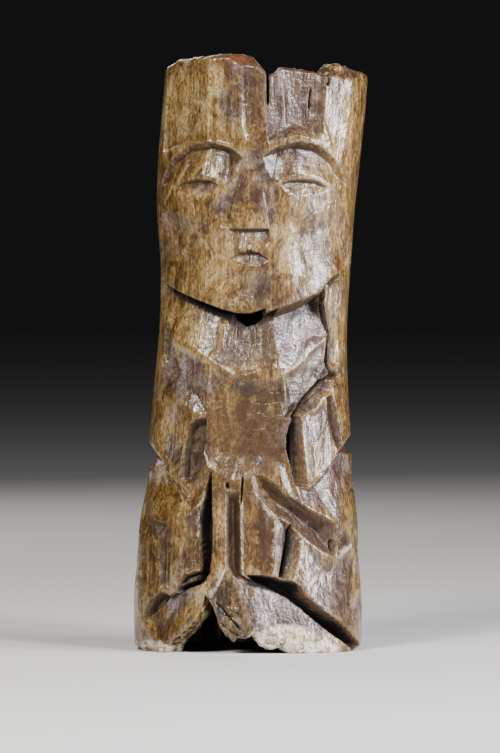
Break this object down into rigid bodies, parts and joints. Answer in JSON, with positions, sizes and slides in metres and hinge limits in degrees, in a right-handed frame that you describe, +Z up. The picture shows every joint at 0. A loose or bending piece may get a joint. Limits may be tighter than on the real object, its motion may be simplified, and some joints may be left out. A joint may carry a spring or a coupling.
{
  "type": "carved bone figurine",
  "caption": "Hollow length of long bone with a standing human figure chip-carved in relief on its front, both ends broken and worn smooth.",
  "frame": {"origin": "middle of the bounding box, at the height of the worn points that the bone stands on", "axes": "+Z up the bone from the feet to the crown, the figure looks along -Y, +X to the right of someone who faces it"},
  "size_m": [0.0434, 0.0355, 0.11],
  "materials": {
    "carved_bone": "hand-polished old bone with a waxy golden-brown patina, dark in the cuts"
  },
  "bodies": {
    "root": {"carved_bone_figure": "carved_bone"}
  },
  "joints": []
}
